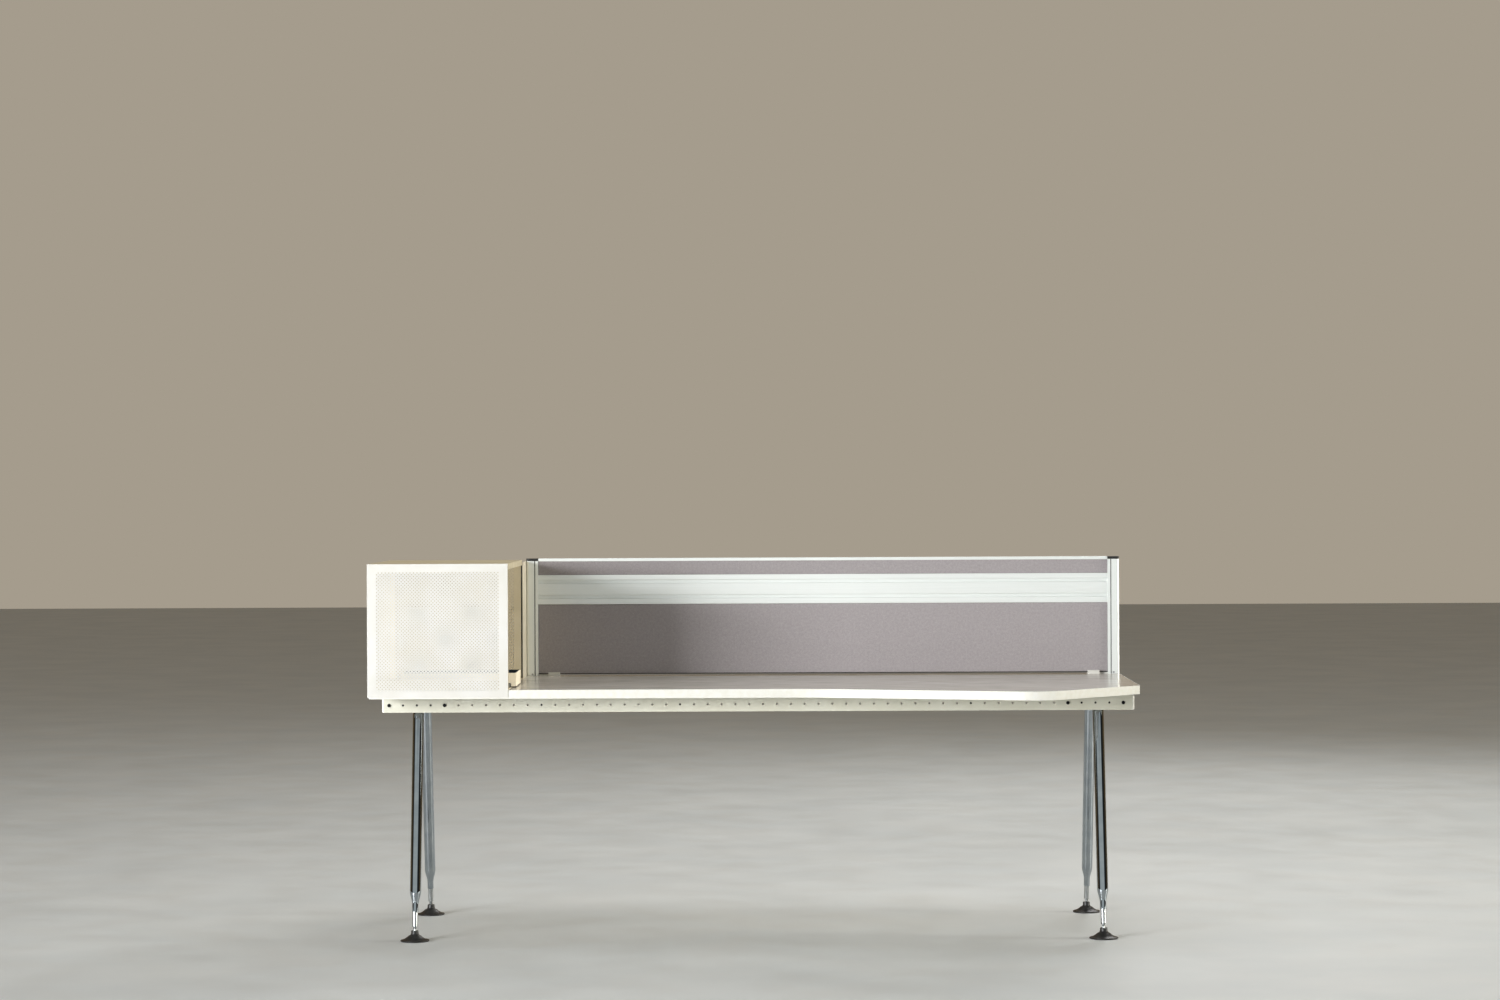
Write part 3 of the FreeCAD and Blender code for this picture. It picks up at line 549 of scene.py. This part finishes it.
edge_radii = {
    "worktop_edge_band": 1.5, "box_top_panel": 0.5, "filler_plate": 0.6, "tray_body": 0.7,
    "tray_liner": 0.6, "screen_top_rail": 0.6, "screen_tool_rail": 1.2, "front_beam": 0.4,
    "rear_beam": 0.4, "screen_clamp_left": 1.0, "screen_clamp_right": 1.0,
    "clamp_screw_left": 0.6, "clamp_screw_right": 0.6, "box_side_panel": 0.5,
}
for node, radius in edge_radii.items():
    softened(node, radius * MM)
for node, radius in (("screen_post_", 0.8), ("post_cap_", 0.8)):
    softened(node + "left", radius * MM, corner=8 * MM, outer=box_of(node + "left")[0][0])
    softened(node + "right", radius * MM, corner=8 * MM, outer=box_of(node + "right")[1][0])
print(len(edge_radii) + 4, "pieces softened")

# %% [markdown]
# ## The inside of the box
#
# A box like this is sprayed from outside, and its inside keeps a darker, matt primer. That is painted shade:
# it stands for the shade in the box, and it gives the holes in the front something darker to show. That is a
# guess, and it gives the holes in the front something darker to show. So the faces of the back and side
# panels that look into the box take a second material, picked by the way each face points.


# %% Paint shade on the inside
def shade_painted(piece, axis, sign):
    """Gives the painted shade to the faces whose normal points along an axis, with the given sign."""
    mesh = bpy.data.objects[piece].data
    mesh.materials.append(inside_painted_shade)
    normals = np.empty(3 * len(mesh.polygons))
    mesh.polygons.foreach_get("normal", normals)
    inward = normals.reshape(-1, 3)[:, axis] * sign > 0.5
    mesh.polygons.foreach_set("material_index", inward.astype(np.int32))
    print(piece, int(inward.sum()), "faces primed")


shade_painted("box_back_perforated", 1, -1)
shade_painted("box_side_panel_soft", 0, 1)

# %% [markdown]
# ## Dark strips in the posts
#
# Each post has a groove down its front where a spare panel could slide in. A black strip in it is
# painted shade: it draws the groove's shade as a thin dark line. It is a plain extrusion whose face is
# slightly crowned: half a wave of a sine across its width.


# %% The strip in each post's groove
SHADE_STRIP_WIDTH = 2.6 * MM
SHADE_STRIP_SUNK = 0.9 * MM
SHADE_STRIP_CROWN = 0.4 * MM
SHADE_STRIP_BACK = 2.8 * MM
SHADE_STRIP_STEPS = 7
GROOVE_INSET = 8.5 * MM
GROOVE_WIDTH = 3.0 * MM


# Painted shade: the black strip draws the groove's shade as a thin dark line.
def groove_shade_strip(side, way):
    """Extruded strip: its face lies at sunk - 0.4 sin(pi u) mm behind the post's, u from 0 to 1."""
    post_low, post_high = box_of("screen_post_" + side)
    inner = post_high[0] if way > 0 else post_low[0]
    middle = inner - way * (GROOVE_INSET + GROOVE_WIDTH / 2)
    u = np.linspace(0, 1, SHADE_STRIP_STEPS)
    x = middle + (u - 0.5) * SHADE_STRIP_WIDTH
    y = post_low[1] + SHADE_STRIP_SUNK - SHADE_STRIP_CROWN * np.sin(math.pi * u)
    x = np.append(x, x[::-1])
    y = np.append(y, np.full(SHADE_STRIP_STEPS, post_low[1] + SHADE_STRIP_BACK))
    count = 2 * SHADE_STRIP_STEPS
    foot_z, top_z = post_low[2] + MM, post_high[2] - 0.5 * MM
    low, high = (np.stack([x, y, np.full(count, z)], -1) for z in (foot_z, top_z))
    ring = np.arange(count)
    walls = np.stack([ring, np.roll(ring, -1), np.roll(ring, -1) + count, ring + count], -1)
    return make("post_shade_strip_" + side, np.concatenate([low, high]), [*walls, ring[::-1], ring + count],
                "post_cap_" + side, hides=False)


groove_shade_strip("left", 1)
groove_shade_strip("right", -1)
print("2 groove_shade_strips")

# %% [markdown]
# ## Legs, rods and feet
#
# Each leg is a chromed tube, spun at its lower end so that it draws in to a neck. A ground rod slides
# in the neck, and its threaded stud ends in a ball that the foot snaps over. All three are turned
# shapes, so each is one half section carried round an axis. The CAD tessellates them coarsely, and a
# mirror shows every flat, so they are made again with more and smoother rings. The axis comes from the
# leg's own joint: it points down along the leg, and the foot's joint is at the ball. The sizes below
# are in millimetres.


# %% Turned shapes
TUBE_RADIUS = 16.0
TUBE_WALL = 2.0
NECK_RADIUS = 9.0
NECK_END = 101.0
SHOULDER = 141.0
ROD_RADIUS = 7.5
ROD_LOW = 41.0
ROD_HIDDEN = 180.0
STUD_RADIUS = 5.0
THREAD_PITCH = 1.5
THREAD_DEPTH = 0.8
BALL_RADIUS = 7.0
PAD_RADIUS = 41.0


def arc(centre, radius, start, stop, steps=6):
    """Points on a circle, (r, z) = centre + radius (cos a, sin a), a from start to stop degrees."""
    a = np.radians(np.linspace(start, stop, steps))
    return [(centre[0] + radius * c, centre[1] + radius * s) for c, s in zip(np.cos(a), np.sin(a))]


def turned(name, profile, origin, axis, node, around=64, ripple=None, closed=False):
    """Carries (r, z) round the axis: p = origin + r cos(a) X + r sin(a) Y + z U, in millimetres.

    X is level, U runs along the axis and Y completes the three. A ripple adds r(a, z) to the radius.
    An open profile starts and ends in a flat cap, and a closed one joins up with itself.
    """
    level = np.array([1.0, 0.0, 0.0])
    side = np.cross(axis, level)
    radius, height = np.array(profile, float).T
    turn = np.arange(around) * 2 * math.pi / around
    reach = np.repeat(radius[:, None], around, 1)
    lift = np.repeat(height[:, None], around, 1)
    if ripple is not None:
        reach = reach + ripple(turn[None, :], lift)
    points = (origin + MM * (reach * np.cos(turn))[..., None] * level
              + MM * (reach * np.sin(turn))[..., None] * side + MM * lift[..., None] * axis)
    rings = len(profile)
    this, other = np.meshgrid(np.arange(rings if closed else rings - 1), np.arange(around),
                              indexing="ij")
    next_ring, next_turn = (this + 1) % rings, (other + 1) % around
    quads = np.stack([this * around + other, this * around + next_turn,
                      next_ring * around + next_turn, next_ring * around + other], -1).reshape(-1, 4)
    caps = [] if closed else [np.arange(around)[::-1], (rings - 1) * around + np.arange(around)]
    return make(name, points.reshape(-1, 3), [*quads, *caps], node)


# %% [markdown]
# The neck follows half a cosine from the neck's radius to the tube's, which leaves both ends tangent,
# as metal spinning does. The stud's thread is a triangle wave of the height less the angle, so each
# turn climbs by one pitch.


# %% The legs
def thread(turn, lift):
    """Depth of the thread: a triangle wave of z / pitch - a / 2 pi, fading at the stud's ends."""
    wave = np.abs(((lift / THREAD_PITCH - turn / (2 * math.pi)) % 1.0) * 2 - 1)
    low, high = BALL_RADIUS * 2 + 1.5, (ROD_LOW - 20.0) / 0.978 - 0.6
    return -THREAD_DEPTH * wave * ((lift > low) & (lift < high))


def leg(corner):
    """Tube, rod and foot of one corner."""
    down = np.array(joint_of["leg_height_" + corner]["axis"])
    ball = np.array(joint_of["foot_tilt_" + corner]["pos_m"])
    up = -down / np.linalg.norm(down)
    floor_to_ball = ball[2] / MM

    def along(height):
        return (height - floor_to_ball) / up[2]

    low, high = box_of("leg_tube_" + corner)
    lean = math.sqrt(1 - up[2] ** 2)
    start = (low[2] / MM + NECK_RADIUS * lean - floor_to_ball) / up[2]
    top = (high[2] / MM - TUBE_RADIUS * lean - floor_to_ball) / up[2]
    neck, shoulder = along(NECK_END), along(SHOULDER)
    ease = np.linspace(0, 1, 25)
    swell = (1 - np.cos(math.pi * ease)) / 2
    outer = arc((NECK_RADIUS - 0.6, start + 0.6), 0.6, -90, 0, 4)
    outer += list(zip(NECK_RADIUS + (TUBE_RADIUS - NECK_RADIUS) * swell,
                      neck + (shoulder - neck) * ease))
    outer += [(TUBE_RADIUS, z) for z in np.linspace(shoulder, top, 12)[1:]]
    bore, inside = ROD_RADIUS + 0.05, TUBE_RADIUS - TUBE_WALL
    inner = [(inside, top), (inside, shoulder + TUBE_WALL), (bore, neck + TUBE_WALL), (bore, start)]
    turned("leg_tube_chromed_" + corner, outer + inner, ball, up, "leg_tube_" + corner, 96,
           closed=True)

    rod_low, rod_high = along(ROD_LOW), along(82.0) + ROD_HIDDEN
    ball_arc = arc((0, 0), BALL_RADIUS, -88, 54, 14)
    stud = [(4.0, 2 * BALL_RADIUS), (STUD_RADIUS, 2 * BALL_RADIUS + 1.0)]
    stud += [(STUD_RADIUS, z) for z in np.arange(2 * BALL_RADIUS + 1.5, rod_low, THREAD_PITCH / 6)]
    shaft = [(STUD_RADIUS, rod_low), (ROD_RADIUS - 1.0, rod_low), (ROD_RADIUS, rod_low + 1.0)]
    shaft += [(ROD_RADIUS, z) for z in np.linspace(rod_low + 2, rod_high - 2, 8)]
    shaft += [(ROD_RADIUS, rod_high - 1.0), (ROD_RADIUS - 1.0, rod_high)]
    turned("leg_rod_threaded_" + corner, ball_arc + stud + shaft, ball, up, "leg_rod_" + corner, 48,
           ripple=thread)
    return ball


def foot(corner, ball):
    """Round nylon foot: a rolled rim, a shallow dish up to a stem, and the ball's socket."""
    floor = -ball[2] / MM
    rim = arc((PAD_RADIUS - 2.4, floor + 2.4), 2.4, -90, 60, 7)
    t = np.linspace(0, 1, 12)[1:]
    dish = list(zip(37.5 - 19.5 * t, floor + 5.0 + 11.0 * t ** 1.6))
    stem = [(13.0, -1.6), (11.6, 0.4), (10.9, 3.0), (10.5, 5.5)]
    lip = arc((10.5 - 1.2, 11.0 - 1.2), 1.2, 0, 90, 5)
    mouth = [(7.6, 11.0), (6.6, 7.6), (5.2, 5.6), (7.3, 0.0), (4.5, -5.8), (0.4, -7.3)]
    under = [(0.4, floor + 0.6), (30.0, floor + 0.6), (33.0, floor)]
    turned("foot_moulded_" + corner, rim + dish + stem + lip + mouth + under, ball,
           np.array([0.0, 0.0, 1.0]), "foot_pad_" + corner, 72, closed=True)


for corner in corners:
    foot(corner, leg(corner))
print("4 legs, rods and feet")

# %% [markdown]
# ## The screen's pads
#
# Each pad is a thin board with cloth pulled over it and stapled behind, so it is flat and tight, with
# a soft radius where the cloth turns the edge. It isn't a cushion, and cloth that is stretched flat
# has no folds for a simulation to find, so the surface is written down: a rounded box whose face
# crowns by a fraction of a millimetre and whose edge puckers slightly between staples.


# %% Cloth pads
EDGE_RADIUS = 2.5 * MM
CROWN = 0.5 * MM
STAPLE_GAP = 60 * MM
PUCKER = 0.12 * MM


def lines_across(half, step):
    """Places from -half to half, close together over the rounded edges and `step` apart between."""
    flat = half - EDGE_RADIUS
    bend = EDGE_RADIUS * np.sin(np.radians([18, 36, 54, 72, 90]))
    middle = np.linspace(-flat, flat, max(3, int(2 * flat / step)))
    return np.concatenate([-flat - bend[::-1], middle, flat + bend])


def face_grid(half, axis, sign, steps):
    """One face of a box: a grid over its two other axes, as points and quads facing outwards."""
    others = [(1, 2), (2, 0), (0, 1)][axis]
    a, b = (lines_across(half[i], steps[i]) for i in others)
    grid = np.zeros((len(a), len(b), 3))
    grid[..., others[0]] = a[:, None]
    grid[..., others[1]] = b[None, :]
    grid[..., axis] = sign * half[axis]
    i, j = np.meshgrid(np.arange(len(a) - 1), np.arange(len(b) - 1), indexing="ij")
    quads = np.stack([i * len(b) + j, (i + 1) * len(b) + j, (i + 1) * len(b) + j + 1,
                      i * len(b) + j + 1], -1).reshape(-1, 4)
    return grid.reshape(-1, 3), quads if sign > 0 else quads[:, ::-1]


def cloth_pad(name, node, outward):
    """Rounded box: q + r (p - q) / |p - q|, with q the nearest point of the box shrunk by r.

    Its outward face lifts by crown (1 - u^2)(1 - v^2), and its rim sinks a little between staples.
    """
    low, high = box_of(node)
    centre, half = (low + high) / 2, (high - low) / 2
    points, faces, count = [], [], 0
    for axis in range(3):
        for sign in (-1, 1):
            grid, quads = face_grid(half, axis, sign, (20 * MM, 4 * MM, 20 * MM))
            points.append(grid)
            faces.append(quads + count)
            count += len(grid)
    box_points, faces = np.concatenate(points), np.concatenate(faces)
    core = np.clip(box_points, -(half - EDGE_RADIUS), half - EDGE_RADIUS)
    offset = box_points - core
    points = core + EDGE_RADIUS * offset / np.linalg.norm(offset, axis=1, keepdims=True)
    keys = np.round(points / (0.005 * MM)).astype(np.int64)
    _, first, index = np.unique(keys, axis=0, return_index=True, return_inverse=True)
    points, faces = points[first], index.ravel()[faces]

    u, v = points[:, 0] / half[0], points[:, 2] / half[2]
    on_face = np.clip(points[:, 1] * outward / half[1], 0, 1)
    lift = CROWN * (1 - u ** 2) * (1 - v ** 2)
    near_rim = np.abs(v) ** 8
    lift -= PUCKER * near_rim * (1 - np.cos(2 * math.pi * points[:, 0] / STAPLE_GAP)) / 2
    points[:, 1] += outward * on_face * lift
    pad = make(name, points + centre, faces, node, crease=60.0)
    print(name, len(points), "points")
    return pad


cloth_pad("screen_upper_cloth", "screen_upper_pad", -1)
cloth_pad("screen_lower_cloth", "screen_lower_pad", -1)
cloth_pad("screen_rear_cloth", "screen_rear_pad", 1)

# %% [markdown]
# ## Floor
#
# The floor is pale sealed concrete, a plain square.


# %% Floor
def sealed_concrete():
    """Cool grey with clouds 0.5 m across, fine sand and a dull sheen."""
    material, tree, shader, place = begin("Sealed concrete", IOR=1.45)
    clouds = spread_over(tree, grain(tree, place, 500 * MM, 6.0), 0.0, 1.0)
    tree.links.new(blended(tree, clouds, "#E6EAEA", "#DEE3E4"), shader.inputs["Base Color"])
    tree.links.new(spread_over(tree, grain(tree, place, 200 * MM, 4.0), 0.45, 0.6),
                   shader.inputs["Roughness"])
    raise_by(tree, shader, grain(tree, place, 3 * MM, 3.0), 0.1 * MM)
    return material


FLOOR_HALF = 30.0
floor_mesh = bpy.data.meshes.new("Floor")
floor_corners = [(x * FLOOR_HALF, y * FLOOR_HALF, 0)
                 for x, y in ((-1, -1), (1, -1), (1, 1), (-1, 1))]
floor_mesh.from_pydata(floor_corners, [], [(0, 1, 2, 3)])
floor_mesh.materials.append(sealed_concrete())
floor = bpy.data.objects.new("Floor", floor_mesh)
scene.collection.objects.link(floor)
print("floor", 2 * FLOOR_HALF, "m square")

# %% [markdown]
# ## Light
#
# The key light is one large panel far off to the left of the camera and not much higher than the desk.
# The box then throws a soft shadow across the screen, and the worktop is lit only at a low angle. A
# weak softbox overhead, a warm one on the right and one behind keep the other sides from going black.
# The box's inside gets a small lamp of its own, and the chrome legs are kept out of the two strong side
# lamps, because a lamp mirrored in a tube is a white streak. Light linking does both: a lamp can be
# given a collection of the only pieces that it lights, or of pieces that it leaves out.


# %% Lights
def softbox(name, place, target, size, watts):
    """A rectangular area light at a place, facing a target point; size is its width and height."""
    light = bpy.data.lights.new(name, "AREA")
    light.shape = "RECTANGLE"
    light.size, light.size_y = size
    light.energy = watts
    lamp = bpy.data.objects.new(name, light)
    place, target = np.array(place), np.array(target)
    away = place - target
    across = math.hypot(away[0], away[1])
    lamp.location = place
    lamp.rotation_euler = (math.atan2(across, away[2]), 0, math.atan2(away[0], -away[1]))
    scene.collection.objects.link(lamp)
    return lamp


key = softbox("Key panel", (-8.0, -8.8, 2.1), (0.0, 0.1, 0.8), (4.4, 3.0), 1640)
softbox("Overhead softbox", (0.2, 0.5, 4.4), (0.2, 0.5, 0.0), (3.0, 2.0), 36)
right = softbox("Right softbox", (10.0, -0.9, 2.0), (0.8, 0.0, 0.8), (1.6, 1.6), 600)
right.data.color = (0.99, 0.96, 0.86)
softbox("Rear softbox", (2.6, 5.0, 4.5), (0.0, 0.3, 0.7), (2.5, 2.0), 110)
print("4 lamps round the desk")


# %% Lamps that light only some pieces
fill = softbox("Box fill", (1.8, -2.2, 1.5), (-0.8, 0.2, 0.9), (0.6, 0.6), 92)
fill.data.color = (1.0, 0.96, 0.88)
inside = bpy.data.collections.new("Box inside")
for name in ("box_back_perforated", "box_side_panel_soft", "box_floor_panel", "tray_body_soft"):
    inside.objects.link(bpy.data.objects[name])
fill.light_linking.receiver_collection = inside

mirrors = bpy.data.collections.new("Chrome kept out of the lamps")
for corner in corners:
    mirrors.objects.link(bpy.data.objects["leg_tube_chromed_" + corner])
for lamp in (key, right):
    lamp.light_linking.receiver_collection = mirrors
for entry in mirrors.collection_objects:
    entry.light_linking.link_state = "EXCLUDE"

# %% [markdown]
# ## The room
#
# Chrome and anodised aluminium show nothing but their surroundings, so the world is a simple room drawn
# by direction: a low pale wall in front, dark above it, warm behind and a grey sky. On matt surfaces
# the wall counts for only a quarter, because there it would wash out the key light's shadows. The
# camera itself sees one plain colour.


# %% World
def room():
    """World light by direction: a low pale wall in front, dark above it, warm behind."""
    world = bpy.data.worlds.new("Studio")
    world.use_nodes = True
    tree = world.node_tree
    tree.nodes.clear()
    place = add(tree, "ShaderNodeTexCoord").outputs["Generated"]
    axes = add(tree, "ShaderNodeSeparateXYZ", {"Vector": place})

    def ramp(axis, start, stop):
        return add(tree, "ShaderNodeMapRange", {"Value": axes.outputs[axis], "From Min": start,
                                                "From Max": stop}).outputs["Result"]

    def both(first, second):
        return add(tree, "ShaderNodeMath", {0: first, 1: second}, operation="MULTIPLY").outputs[0]

    wall = both(both(ramp("Z", 0.38, 0.33), ramp("Y", 0.0, -0.1)),
                both(ramp("X", -0.86, -0.76), ramp("X", 0.64, 0.54)))
    far = blended(tree, ramp("Y", -0.3, 0.5), "#282B2C", "#7C6644")
    matt = add(tree, "ShaderNodeLightPath").outputs["Is Diffuse Ray"]
    dimmed = add(tree, "ShaderNodeMapRange", {"Value": matt, "To Min": 1.0, "To Max": 0.25})
    lit = add(tree, "ShaderNodeMix", {"Factor": both(wall, dimmed.outputs["Result"]), "A": far,
                                      "B": linear("#D2D8D6")}, data_type="RGBA").outputs["Result"]
    sky = add(tree, "ShaderNodeMix", {"Factor": ramp("Z", 0.6, 0.95), "A": lit,
                                      "B": linear("#90918F")}, data_type="RGBA").outputs["Result"]
    seen = add(tree, "ShaderNodeLightPath").outputs["Is Camera Ray"]
    colour = add(tree, "ShaderNodeMix", {"Factor": seen, "A": sky, "B": linear("#A59C8D")},
                 data_type="RGBA").outputs["Result"]
    background = add(tree, "ShaderNodeBackground", {"Color": colour})
    add(tree, "ShaderNodeOutputWorld", {"Surface": background.outputs["Background"]})
    return world


scene.world = room()
scene.view_settings.view_transform = "Standard"
